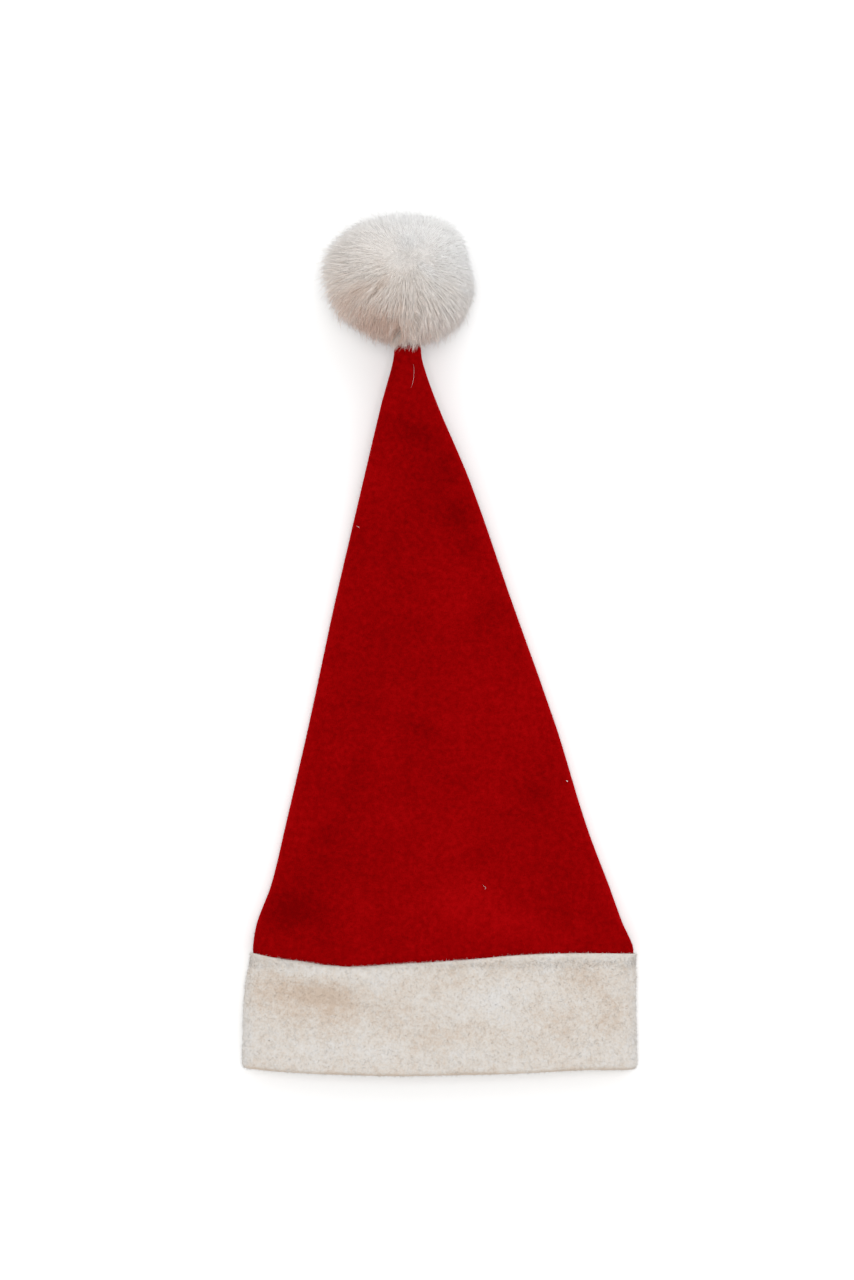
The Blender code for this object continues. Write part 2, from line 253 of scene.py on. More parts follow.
def hatLoops(stations, pushes, steps):  # loops round the hat, with the first point again at the end
    y, push = np.array(stations, float)[:, None], np.array(pushes, float)[:, None]
    left, right, under, fold, arch = sectionAt(y)
    half, middle = (right - left) / 2, (left + right) / 2
    lean = np.arctan2(2 * arch, half - fold)
    span = half - fold + fold * np.sin(lean)
    rise = span * np.tan(lean) / 2
    join = under + fold + fold * np.cos(lean)
    flat, round_, top = (np.arange(count)[None] / count for count in steps)

    def sideway(centre, start, reach):
        turn = start + (math.pi - lean) * round_
        outX, outZ = np.cos(turn), np.sin(turn)
        return centre + fold * outX, under + fold + fold * outZ, outX, outZ, reach

    reach = 1 - 2 * top
    tall = np.sqrt(1 + (np.tan(lean) * reach) ** 2)
    parts = (
        (left + fold + 2 * (half - fold) * flat, under, 0.0, -1.0, 1.0),
        sideway(right - fold, -math.pi / 2, 1.0),
        (middle + span * reach, join + rise * (1 - reach**2), np.tan(lean) * reach / tall, 1 / tall, reach),
        sideway(left + fold, math.pi / 2 + lean, -1.0),
    )
    joined = []
    for column in range(5):
        pieces = [np.broadcast_to(part[column], part[0].shape) for part in parts]
        joined.append(np.concatenate(pieces + [pieces[0][:, :1]], axis=1))
    x, z, outX, outZ, reach = joined
    x, z = x + push * outX, z + push * outZ
    press = dentDepth(x, y) * ease((1 - np.abs(reach)) / hat["dentMargin"])
    return np.stack([x, y + wander(x, y, outZ), z - press], axis=2)


def halfTurn(y, start, end, way, count):  # stations and pushes round a half circle
    radius, middle, half = abs(end - start) / 2, (start + end) / 2, (start - end) / 2
    turns = [math.pi * step / count for step in range(1, count)]
    return [(y + way * radius * math.sin(turn), middle + half * math.cos(turn)) for turn in turns]


def layCloth(places, marks, along):  # a grid laid on the places and joined at its sides
    rows, columns = places.shape[0] - 1, places.shape[1] - 1
    strides = np.linalg.norm(np.diff(places, axis=1), axis=2)
    around = np.concatenate([np.zeros((rows + 1, 1)), np.cumsum(strides, axis=1)], axis=1)
    around -= around[:, -1:] / 2
    shape = bmesh.new()
    weave = shape.loops.layers.uv.new("weave")
    layers = [(shape.verts.layers.float.new(key), values) for key, values in marks.items()]
    bmesh.ops.create_grid(shape, x_segments=columns, y_segments=rows, size=1)
    shape.verts.index_update()
    spots = []
    for vertex in shape.verts:
        spot = round((vertex.co.y + 1) / 2 * rows), round((vertex.co.x + 1) / 2 * columns)
        spots.append(spot)
        vertex.co = places[spot]
        for layer, values in layers:
            vertex[layer] = values[spot]
    for face in shape.faces:
        for loop in face.loops:
            spot = spots[loop.vert.index]
            loop[weave].uv = around[spot], along[spot[0]]
    bmesh.ops.remove_doubles(shape, verts=shape.verts[:], dist=2e-6)
    bmesh.ops.recalc_face_normals(shape, faces=shape.faces[:])
    return shape


def raiseSurface(shape, amount):  # moves each point along its normal
    shape.normal_update()
    moves = [vertex.normal * amount(vertex) for vertex in shape.verts]
    for vertex, move in zip(shape.verts, moves):
        vertex.co += move


def addPiece(name, data, material, node=None):
    data.materials.append(material)
    data.shade_smooth()
    piece = bpy.data.objects.new(name, data)
    scene.collection.objects.link(piece)
    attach(piece, "root")
    if node:
        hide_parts(node)
    return piece


def meshOf(name, shape):
    data = bpy.data.meshes.new(name)
    shape.to_mesh(data)
    shape.free()
    return data


def strandMesh(name, paths, radii, marks, seed):
    # closed three-sided strands, a ring of three points at each stop and one point at the tip
    rng = np.random.default_rng(seed)
    count, stops = paths.shape[:2]
    ways = np.empty_like(paths)
    ways[:, 1:-1] = paths[:, 2:] - paths[:, :-2]
    ways[:, 0] = paths[:, 1] - paths[:, 0]
    ways[:, -1] = paths[:, -1] - paths[:, -2]
    ways = unit(ways)
    across = unit(np.cross(ways[:, :1], rng.normal(size=(count, 1, 3))))
    across = unit(np.cross(np.cross(ways, np.broadcast_to(across, ways.shape)), ways))
    third = np.cross(ways, across)
    corners = []
    for side in range(3):
        turn = 2 * math.pi * side / 3
        corners.append(paths + radii[..., None] * (math.cos(turn) * across + math.sin(turn) * third))
    rings = np.stack(corners, axis=2)[:, :-1].reshape(count, -1, 3)
    points = np.concatenate([rings, paths[:, -1:]], axis=1)
    each = points.shape[1]
    faces = [(0, 2, 1)]
    for stop in range(stops - 2):
        for side in range(3):
            a, b = 3 * stop + side, 3 * stop + (side + 1) % 3
            faces += [(a, b, b + 3), (a, b + 3, a + 3)]
    last = 3 * (stops - 2)
    faces += [(last + side, last + (side + 1) % 3, each - 1) for side in range(3)]
    faces = np.array(faces)
    every = (faces[None] + np.arange(count)[:, None, None] * each).reshape(-1, 3)

    data = bpy.data.meshes.new(name)
    data.vertices.add(count * each)
    data.vertices.foreach_set("co", points.ravel())
    data.loops.add(every.size)
    data.loops.foreach_set("vertex_index", every.ravel())
    data.polygons.add(len(every))
    data.polygons.foreach_set("loop_start", np.arange(0, every.size, 3))
    data.update(calc_edges=True)

    along = np.concatenate([np.repeat(np.linspace(0, 1, stops)[:-1], 3), [1.0]])
    data.attributes.new("along", "FLOAT", "POINT").data.foreach_set("value", np.tile(along, count))
    for key, values in marks.items():
        data.attributes.new(key, "FLOAT", "POINT").data.foreach_set("value", np.repeat(values, each))
    wide = math.ceil(math.sqrt(count * 3))  # each strand gets its own small cell of the UV map
    cell = np.concatenate([np.tile([0.2, 0.5, 0.8], stops - 1), [0.5]])
    column = (np.arange(count) % wide)[:, None] + cell
    tall = math.ceil(count / wide)
    row = (np.arange(count) // wide)[:, None] + 0.1 + 0.8 * along
    spread = np.stack([column / wide, row / tall], axis=2).reshape(-1, 2)
    data.uv_layers.new(name="OFBake").data.foreach_set("uv", spread[every.ravel()].ravel())
    return data


def scatterOn(piece, count, keep, rng):  # random places on a finished piece, and the way each faces
    data = piece.data
    data.calc_loop_triangles()
    spots = np.empty(len(data.vertices) * 3)
    data.vertices.foreach_get("co", spots)
    corners = np.empty(len(data.loop_triangles) * 3, int)
    data.loop_triangles.foreach_get("vertices", corners)
    a, b, c = spots.reshape(-1, 3)[corners.reshape(-1, 3)].transpose(1, 0, 2)
    faced = np.cross(b - a, c - a)
    chance = np.linalg.norm(faced, axis=1) * keep((a + b + c) / 3, unit(faced))
    pick = rng.choice(len(a), count, p=chance / chance.sum())
    u, v = rng.random((2, count, 1))
    flip = u + v > 1
    u, v = np.where(flip, 1 - u, u), np.where(flip, 1 - v, v)
    return a[pick] + u * (b - a)[pick] + v * (c - a)[pick], unit(faced)[pick]


# Materials

def newMaterial(name):
    made = bpy.data.materials.new(name)
    made.use_nodes = True
    tree = made.node_tree
    return made, tree, tree.nodes["Principled BSDF"]


def addNode(tree, kind, inputs=None, **settings):
    made = tree.nodes.new(kind)
    for key, value in settings.items():
        setattr(made, key, value)
    for key, value in (inputs or {}).items():
        if isinstance(value, bpy.types.NodeSocket):
            tree.links.new(value, made.inputs[key])
        else:
            made.inputs[key].default_value = value
    return made


def tinted(tree, colour, tint):  # the colour multiplied by a tint
    inputs = {0: 1.0, 6: colour, 7: tint}
    return addNode(tree, "ShaderNodeMix", inputs, data_type="RGBA", blend_type="MULTIPLY").outputs[2]


def rampOf(tree, source, stops):
    made = addNode(tree, "ShaderNodeValToRGB", {"Fac": source})
    while len(made.color_ramp.elements) < len(stops):
        made.color_ramp.elements.new(0.5)
    for element, (place, colour) in zip(made.color_ramp.elements, stops):
        element.position = place
        element.color = (*colour, 1)
    return made.outputs["Color"]


def noiseOf(tree, place, size, detail=2.0, rough=0.5):
    inputs = {"Vector": place, "Scale": 1 / size, "Detail": detail, "Roughness": rough}
    return addNode(tree, "ShaderNodeTexNoise", inputs).outputs["Fac"]


def mathOf(tree, operation, first, second):
    return addNode(tree, "ShaderNodeMath", {0: first, 1: second}, operation=operation).outputs[0]


def blendOf(tree, *parts):  # adds up patterns, each times its weight
    total = None
    for pattern, weight in parts:
        part = mathOf(tree, "MULTIPLY", pattern, weight)
        total = mathOf(tree, "ADD", total, part) if total else part
    return total


def finishCloth(tree, shader, settings, pattern, height):  # roughness, bump and the sheen of a nap
    low, high = settings["rough"]
    rough = addNode(tree, "ShaderNodeMapRange", {"Value": pattern, "To Min": low, "To Max": high})
    tree.links.new(rough.outputs[0], shader.inputs["Roughness"])
    strength, distance = settings["bump"]
    inputs = {"Strength": strength, "Distance": distance, "Height": height}
    tree.links.new(addNode(tree, "ShaderNodeBump", inputs).outputs[0], shader.inputs["Normal"])
    shader.inputs["Specular IOR Level"].default_value = settings["specular"]
    shader.inputs["Sheen Weight"].default_value = settings["sheen"]
    shader.inputs["Sheen Roughness"].default_value = settings["sheenRough"]
    shader.inputs["Sheen Tint"].default_value = (*settings["sheenTint"], 1)


redCloth = {
    "deep": (0.152, 0.0004, 0.0008),
    "plain": (0.228, 0.0006, 0.0011),
    "bright": (0.310, 0.0014, 0.0022),
    "patch": 0.040,  # sizes of the patterns
    "fluff": 0.0034,
    "grain": 0.0009,
    "wale": 0.0013,  # one knitted rib
    "course": 0.0010,
    "knit": 0.22,  # how far the stitches stand up
    "shade": -0.16,  # how far a patch's painted shade and light moves the colour
    "rough": (0.84, 0.98),
    "bump": (0.9, 0.0007),
    "specular": 0.0,
    "sheen": 0.60,
    "sheenRough": 0.35,
    "sheenTint": (0.60, 0.004, 0.008),
}


def makeRedCloth(name, weave):
    made, tree, shader = newMaterial(name)
    place = addNode(tree, "ShaderNodeTexCoord").outputs["Object"]
    patch = noiseOf(tree, place, redCloth["patch"], 3.0)
    fluff = noiseOf(tree, place, redCloth["fluff"], 4.0, 0.62)
    grain = noiseOf(tree, place, redCloth["grain"], 3.0, 0.6)
    # painted shade and painted light, from the patches and along the crown's sides
    shade = addNode(tree, "ShaderNodeAttribute", attribute_name="shade").outputs["Fac"]
    mottle = blendOf(tree, (fluff, 0.50), (grain, 0.28), (patch, 0.22), (shade, redCloth["shade"]))
    stops = ((0.32, redCloth["deep"]), (0.50, redCloth["plain"]), (0.68, redCloth["bright"]))
    tree.links.new(rampOf(tree, mottle, stops), shader.inputs["Base Color"])
    height = blendOf(tree, (fluff, 0.9), (grain, 0.5))
    if weave:
        threads = addNode(tree, "ShaderNodeUVMap", uv_map="weave").outputs["UV"]
        rows = []
        for size, wobble, direction in ((redCloth["wale"], 1.5, "X"), (redCloth["course"], 2.0, "Y")):
            inputs = {"Vector": threads, "Scale": 0.314 / size, "Distortion": wobble, "Detail Scale": 0.4}
            wave = addNode(tree, "ShaderNodeTexWave", inputs, bands_direction=direction)
            rows.append(wave.outputs["Fac"])
        stitches = mathOf(tree, "MULTIPLY", *rows)
        height = mathOf(tree, "ADD", height, mathOf(tree, "MULTIPLY", stitches, redCloth["knit"]))
    finishCloth(tree, shader, redCloth, fluff, height)
    return made


creamFleece = {
    "light": (0.618, 0.600, 0.582),
    "plain": (0.588, 0.542, 0.494),
    "tan": (0.510, 0.414, 0.336),
    "patch": 0.030,
    "tuft": 0.0042,
    "grain": 0.0012,
    # how far a patch's painted shade and light moves the colour
    "shade": -0.14,
    "rough": (0.85, 1.0),
    "bump": (0.4, 0.0005),
    "specular": 0.08,
    "sheen": 0.25,
    "sheenRough": 0.5,
    "sheenTint": (1.0, 0.97, 0.93),
}


def makeCreamFleece(name, lift):  # the lift makes loose fibres a little lighter
    made, tree, shader = newMaterial(name)
    place = addNode(tree, "ShaderNodeTexCoord").outputs["Object"]
    patch = noiseOf(tree, place, creamFleece["patch"], 3.0, 0.55)
    tuft = noiseOf(tree, place, creamFleece["tuft"], 3.0, 0.6)
    grain = noiseOf(tree, place, creamFleece["grain"], 2.0, 0.6)
    # painted shade and painted light from the cuff's patches and the rim's fold
    shade = addNode(tree, "ShaderNodeAttribute", attribute_name="shade").outputs["Fac"]
    mottle = blendOf(tree, (patch, 0.36), (tuft, 0.30), (grain, 0.34), (shade, creamFleece["shade"]))
    mottle = mathOf(tree, "ADD", mottle, lift)
    stops = ((0.32, creamFleece["tan"]), (0.50, creamFleece["plain"]), (0.64, creamFleece["light"]))
    tree.links.new(rampOf(tree, mottle, stops), shader.inputs["Base Color"])
    finishCloth(tree, shader, creamFleece, tuft, blendOf(tree, (tuft, 0.6), (grain, 0.7)))
    return made


whiteFur = {
    "along": (  # painted shade, darker between the roots
        (0.00, (0.590, 0.580, 0.573)),
        (0.35, (0.900, 0.888, 0.876)),
        (0.70, (0.955, 0.948, 0.941)),
        (1.00, (0.974, 0.970, 0.969)),
    ),
    "tints": (  # from brown shadow to cool white
        (0.00, (0.800, 0.600, 0.500)),
        (0.16, (0.935, 0.815, 0.735)),
        (0.42, (0.970, 0.908, 0.860)),
        (0.70, (0.990, 0.958, 0.930)),
        (1.00, (1.000, 1.000, 1.000)),
    ),
    "fleck": 0.0025,
    "rough": (0.74, 0.92),
    "bump": (0.3, 0.0002),
    "specular": 0.12,
    "sheen": 0.30,
    "sheenRough": 0.4,
    "sheenTint": (1.0, 0.98, 0.96),
}


def makeWhiteFur(name):
    made, tree, shader = newMaterial(name)
    along = addNode(tree, "ShaderNodeAttribute", attribute_name="along").outputs["Fac"]
    tone = addNode(tree, "ShaderNodeAttribute", attribute_name="tone").outputs["Fac"]
    place = addNode(tree, "ShaderNodeTexCoord").outputs["Object"]
    fleck = noiseOf(tree, place, whiteFur["fleck"], 3.0, 0.6)
    uneven = mathOf(tree, "MULTIPLY", mathOf(tree, "SUBTRACT", fleck, 0.5), 0.25)
    colour = rampOf(tree, mathOf(tree, "ADD", along, uneven), whiteFur["along"])
    tint = rampOf(tree, tone, whiteFur["tints"])
    tree.links.new(tinted(tree, colour, tint), shader.inputs["Base Color"])
    finishCloth(tree, shader, whiteFur, fleck, fleck)
    return made


redClothFinish = makeRedCloth("red_cloth", True)
redFluffFinish = makeRedCloth("red_fluff", False)
fleeceFinish = makeCreamFleece("cream_fleece", 0.0)
fleeceFluffFinish = makeCreamFleece("cream_fluff", 0.04)
furFinish = makeWhiteFur("white_fur")
print("santa hat: materials made")

# The cuff: one fleece band folded at the rim, round the crown's hem
cuff = {
    "steps": (170, 16, 300),  # points under the hat, round each side fold and over the top
    "stride": 0.00115,  # between rows on the outside
    "rimSteps": 12,
    "edgeSteps": 7,
    "innerSteps": 5,
    "innerNear": 0.026,  # up to here inside the mouth the rows are closer together
    "lip": 0.0005,  # the upper edge stands up by this much
    "lipLeft": 0.0013,  # and by this much more at the left
    "leftAt": (-0.072, 0.050),  # middle and half-width of that place
    "lipDepth": 0.0130,
    "lipTop": 0.002,
    "edge": 0.0017,  # the nap reaches this far past the upper edge
    "pinch": 0.0012,  # at the two sides the edge is this much thinner
    "nap": 0.00022,
    "napSizes": (0.0017, 0.0042),
    "napResting": 0.25,  # share of the nap that is left where it is pressed flat
    "lump": 0.00055,
    "lumpSize": 0.021,
    "foldShade": 1.3,  # painted shade: a thin tan line round the rim's fold
}


def cuffProfile():  # (distance from the rim, push outwards, nap share, lip share, fold share of painted shade) round the band
    innerFace = -hat["cloth"] - hat["fit"] - hat["fleece"]
    innerGroove = -hat["cloth"] - hat["fit"]
    inside = hat["cuffInside"] - hat["fleece"] / 2
    outside = hat["cuffDepth"] + cuff["edge"] - hat["fleece"] / 2
    outer = np.linspace(outside, hem, round((outside - hem) / cuff["stride"]) + 1)
    near = cuff["innerNear"]
    inner = np.concatenate([np.linspace(hem, near, 16)[:-1], np.linspace(near, inside, 9)])
    raised = ease((outer - hat["cuffDepth"] + cuff["lipDepth"]) / (cuff["lipDepth"] - cuff["lipTop"]))
    rows = [(y, sleeve, 1.0, lip, 0.0) for y, lip in zip(outer, raised)]
    rimFold = halfTurn(hem, sleeve, innerFace, -1, cuff["rimSteps"])
    rows += [(y, push, 1.0, 0.0, float(ease(step / 3))) for step, (y, push) in enumerate(rimFold)]
    rows += [(y, innerFace, 1.0, 0.0, 0.0) for y in inner]
    innerEdge = halfTurn(inside, innerFace, innerGroove, 1, cuff["innerSteps"])
    rows += [(y, push, 0.5, 0.0, 0.0) for y, push in innerEdge]
    rows += [(y, innerGroove, 0.0, 0.0, 0.0) for y in np.linspace(inside, hem, 12)]
    grooveEnd = halfTurn(hem, innerGroove, hat["fit"], -1, cuff["innerSteps"])
    rows += [(y, push, 0.0, 0.0, 0.0) for y, push in grooveEnd]
    rows += [(y, hat["fit"], 0.0, 0.0, 0.0) for y in np.linspace(hem, outside, 14)]
    edgeFold = halfTurn(outside, hat["fit"], sleeve, 1, cuff["edgeSteps"])
    shares = np.linspace(0.2, 0.95, len(edgeFold))
    rows += [(y, push, share, share, 0.0) for (y, push), share in zip(edgeFold, shares)]
    rows.append(rows[0])
    return np.array(rows)


profile = cuffProfile()
cuffPlaces = hatLoops(profile[:, 0], profile[:, 1], cuff["steps"])
cadLow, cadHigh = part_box("cuff")
ownLow, ownHigh = cuffPlaces.reshape(-1, 3).min(0), cuffPlaces.reshape(-1, 3).max(0)
shift = np.array([
    (cadLow.x + cadHigh.x - ownLow[0] - ownHigh[0]) / 2,
    cadLow.y - ownLow[1],
    cadLow.z - ownLow[2],
])
print("santa hat: placed by", [round(float(value) * 1000, 2) for value in shift], "mm")

spread = np.ones(cuffPlaces.shape[:2])
walk = np.concatenate([[0], np.cumsum(np.hypot(*np.diff(profile[:, :2], axis=0).T))])
# painted shade and painted light of the cuff's patches on its upper side, and a painted tan shade line
# round the rim's fold
shade = patchShade(cuffShadeAndLight, cuffPlaces[..., 0], cuffPlaces[..., 1])
shade = shade * (cuffPlaces[..., 2] > 0.008) + cuff["foldShade"] * profile[:, 4:5]
marks = {"nap": profile[:, 2:3] * spread, "lip": profile[:, 3:4] * spread, "shade": shade}
shape = layCloth(cuffPlaces + shift, marks, walk)
napLayer, lipLayer = (shape.verts.layers.float[key] for key in ("nap", "lip"))


def cuffRise(vertex):
    share = vertex[napLayer]
    if share == 0:
        return 0.0
    place = vertex.co
    small, large = cuff["napSizes"]
    fine = noise.noise(place / small) + 0.7 * noise.noise(place / large + Vector((7, 1, 3)))
    slow = noise.noise(place / cuff["lumpSize"] + Vector((2, 9, 4)))
    left = math.exp(-((place.x - cuff["leftAt"][0]) / cuff["leftAt"][1]) ** 2)
    upward = max(vertex.normal.z, 0.0)
    lip = vertex[lipLayer] * (cuff["lip"] + cuff["lipLeft"] * left) * (1 + 0.5 * noise.noise(place / 0.012))
    resting = 1.0 if vertex.normal.z > -0.5 else cuff["napResting"]
    raised = lip * max(upward, vertex.normal.y) - cuff["pinch"] * vertex[lipLayer] * abs(vertex.normal.x)
    return share * resting * (cuff["nap"] * fine + cuff["lump"] * slow * upward) + raised


raiseSurface(shape, cuffRise)
for vertex in shape.verts:
    vertex.co.z = max(vertex.co.z, 0.0)
cuffTree = BVHTree.FromBMesh(shape)
cuffPiece = addPiece("cuff_fleece", meshOf("cuff_fleece", shape), fleeceFinish, "cuff")
print("santa hat: cuff", len(cuffPiece.data.polygons), "faces")

# The crown: a knitted bag with a closed tip, its hem inside the cuff
crown = {
    "steps": (64, 12, 104),
    "stride": 0.0026,
    "hidden": 0.056,  # up to here the cuff hides it and the rows are further apart
    "sides": ((71, 1.5), (185, 0.8)),  # columns of the outermost points, and how much painted highlight they get
    "relief": 0.00055,
    "reliefSizes": (0.045, 0.016),
    "seam": 0.0006,  # depth of the seam along the right side
}


def crownProfile():
    innerEnd = tip - 2 * hat["cloth"]
    inside = np.linspace(innerEnd, hem, 92)
    last = tip - hat["cloth"]
    outside = np.concatenate([
        np.linspace(hem, crown["hidden"], 9)[:-1],
        np.linspace(crown["hidden"], last, round((last - crown["hidden"]) / crown["stride"])),
    ])
    rows = [(y, -hat["cloth"], 0.0) for y in inside]
    rows += [(y, 0.0, float(ease((y - hat["cuffDepth"] - 0.004) / 0.020))) for y in outside]
    return np.array(rows + [(tip, 0.0, 0.0)])


profile = crownProfile()
places = hatLoops(profile[:, 0], profile[:, 1], crown["steps"])
middles = places[:, :-1].mean(axis=1, keepdims=True)
endRing = places[-1:] + 0.25 * (middles[-1:] - places[-1:])
places = np.concatenate([
    np.broadcast_to(middles[:1], places[:1].shape), places[:-1], endRing,
    np.broadcast_to(endRing[:, :-1].mean(axis=1, keepdims=True), places[:1].shape),
])
outer = np.concatenate([[0.0], profile[:, 2], [0.0]])[:, None] * np.ones(places.shape[:2])
walk = np.cumsum(np.abs(np.diff(profile[:, 0], prepend=profile[0, 0])) + 1e-4)
walk = np.concatenate([[0.0], walk, [walk[-1] + 0.004]])
seamAt = crown["steps"][0] + crown["steps"][1] * 0.55
seamShare = np.exp(-((np.arange(places.shape[1]) - seamAt) / 0.7) ** 2)[None] * outer
# painted shade and painted light of the crown's patches, on its upper side
shade = patchShade(crownShadeAndLight, places[..., 0], places[..., 1]) * (places[..., 2] > 0.006)
for column, shine in crown["sides"]:  # painted highlight along both sides
    shade -= shine * np.exp(-((np.arange(places.shape[1]) - column) / 3) ** 2)[None] * outer
shape = layCloth(places + shift, {"outer": outer, "seam": seamShare, "shade": shade}, walk)
outerLayer, seamLayer = (shape.verts.layers.float[key] for key in ("outer", "seam"))


def crownRise(vertex):
    share = vertex[outerLayer]
    if share == 0:
        return 0.0
    place = vertex.co
    wide = noise.noise(place / crown["reliefSizes"][0] + Vector((3, 5, 1)))
    small = noise.noise(place / crown["reliefSizes"][1] + Vector((8, 2, 6)))
    upward = max(vertex.normal.z, 0.0)
    return share * crown["relief"] * (wide + 0.35 * small) * upward - crown["seam"] * vertex[seamLayer]


raiseSurface(shape, crownRise)
crownTree = BVHTree.FromBMesh(shape)
crownPiece = addPiece("crown_cloth", meshOf("crown_cloth", shape), redClothFinish, "crown")
print("santa hat: crown", len(crownPiece.data.polygons), "faces")

# Short loose fibres of the cuff's fleece and the crown's brushed cloth
fluff = {
    "cuffCount": 43000,
    "cuffLength": (0.0009, 0.0019),
    "cuffRadius": 0.00016,
    "crownCount": 15000,
    "crownLength": (0.0007, 0.0016),
    "crownRadius": 0.00007,
    "lean": 0.9,
    "leastRise": 0.15,  # no fibre lies flatter than this
    "sunk": 0.0002,
}


def fluffPaths(spots, ways, lengths, rng):
    bent = unit(ways + fluff["lean"] * rng.normal(size=ways.shape))
    rise = (bent * ways).sum(1, keepdims=True)
    bent = unit(bent + np.maximum(fluff["leastRise"] - rise, 0) * ways)
    start = spots - fluff["sunk"] * ways
    return np.stack([start, spots + bent * lengths[:, None]], axis=1)


def addFluff(name, piece, count, reach, radius, keep, patches, finish, seed):
    rng = np.random.default_rng(seed)
    spots, ways = scatterOn(piece, count, keep, rng)
    lengths = rng.uniform(*reach, count)
    paths = fluffPaths(spots, ways, lengths, rng)
    paths[..., 2] = np.maximum(paths[..., 2], 0.0001)
    radii = np.full((count, 2), radius) * rng.uniform(0.7, 1.2, (count, 1))
    local = spots - shift
    # each fibre takes the painted shade and light of the patches where it grows
    marks = {"shade": patchShade(patches, local[:, 0], local[:, 1]) * (ways[:, 2] > 0)}
    return addPiece(name, strandMesh(name, paths, radii, marks, seed), finish)


def cuffOutside(spots, ways):
    local = spots - shift
    edge = np.exp(-(((local[:, 1] - hat["cuffDepth"] + 0.001) / 0.003) ** 2))
    outside = (ways[:, 2] > -0.2) | (local[:, 1] < 0.004)
    hidden = (local[:, 1] > 0.004) & (local[:, 2] < 1.2 * sideFold) & (np.abs(local[:, 0]) < 0.11)
    return outside * ~hidden * (1 + 2.5 * edge)


def crownOutside(spots, ways):
    local = spots - shift
    return (ways[:, 2] > -0.3) * (local[:, 1] > hat["cuffDepth"] + 0.001) * (local[:, 1] < tip - 0.015)


addFluff(
    "cuff_fluff", cuffPiece, fluff["cuffCount"], fluff["cuffLength"], fluff["cuffRadius"],
    cuffOutside, cuffShadeAndLight, fleeceFluffFinish, 11,
)
addFluff(
    "crown_fluff", crownPiece, fluff["crownCount"], fluff["crownLength"], fluff["crownRadius"],
    crownOutside, crownShadeAndLight, redFluffFinish, 12,
)
print("santa hat: loose fibres laid")

# The pompom: a head with long soft fur, combed away from a whorl on top
pompom = {
    "fur": 0.0215,  # length of the fur at the sides and on top
    "furBelow": 0.0150,
    "core": (0.50, 0.67),  # share of their length below which the hairs are too dense to see between
    "pressed": 1.20,  # the floor stops fur that would reach this much further
    "whorl": (0.03, 0.51, 0.86),
    "comb": 44,  # lean of the tips, in degrees
    "crowd": 0.30,  # how much closer together the roots are near the whorl
    "clumps": 1500,
    "pull": (0.05, 0.34),  # how far tips gather into their clump, above and towards the crown
    "longShare": 0.15,  # of the hairs; they feather the outline
    "longReach": (0.94, 1.13),
    "shortReach": (0.925, 0.030),  # the middle and the spread of all the others
    "underReach": 0.88,
    "stray": (0.085, 0.050),  # how far tips wander, and how much less where they are combed
    "clumpTone": 0.08,
    "clumpLength": 0.018,
    "clumpTurn": 0.09,
    "guardCount": 21000,
    "underCount": 17000,
    "fringeCount": 460,  # hairs that lie over the end of the crown
    "fringeLocks": 17,
    "guardRadius": 0.00014,
    "underRadius": 0.00018,
    "guardStops": (0.30, 0.58, 0.82, 1.0),
    "underStops": (0.35, 0.70, 1.0),
    "fringeStops": (0.0, 0.4, 0.75, 1.0),
    "hairTaper": (1.0, 1.0, 0.8, 0.3),
    "underTaper": (1.0, 0.9, 0.4),
    "headDetail": 5,
    "headShade": 0.12,  # painted shade: how much warmer and darker the head is than the hairs over it
    # the head takes the painted shade at the hairs' roots
    "headAlong": 0.04,
    "room": (0.0008, 0.0012),  # left free round the end of the crown
    "swirl": 0.10,
    "seed": 21,
}
whorl = unit(np.array(pompom["whorl"]))
tipLeft, tipRight, tipFloor, tipFold = (float(value) for value in sectionAt(np.array(tip))[:4])
headPlace = np.array([(tipLeft + tipRight) / 2, hat["pompomMiddle"], pompomZ])


def combed(ways, share):  # a direction turned away from the whorl, more so towards the tip
    cosine = np.clip(ways @ whorl, -0.9999, 0.9999)[:, None]
    sine = np.sqrt(1 - cosine**2)
    away = (ways * cosine - whorl) / sine
    turn = math.radians(pompom["comb"]) * share**1.2 * sine**2 / (sine**2 + 0.36) * (1.12 - 0.12 * cosine)
    turn *= ease((cosine + 1.0) / 0.5)
    return ways * np.cos(turn) + away * np.sin(turn)


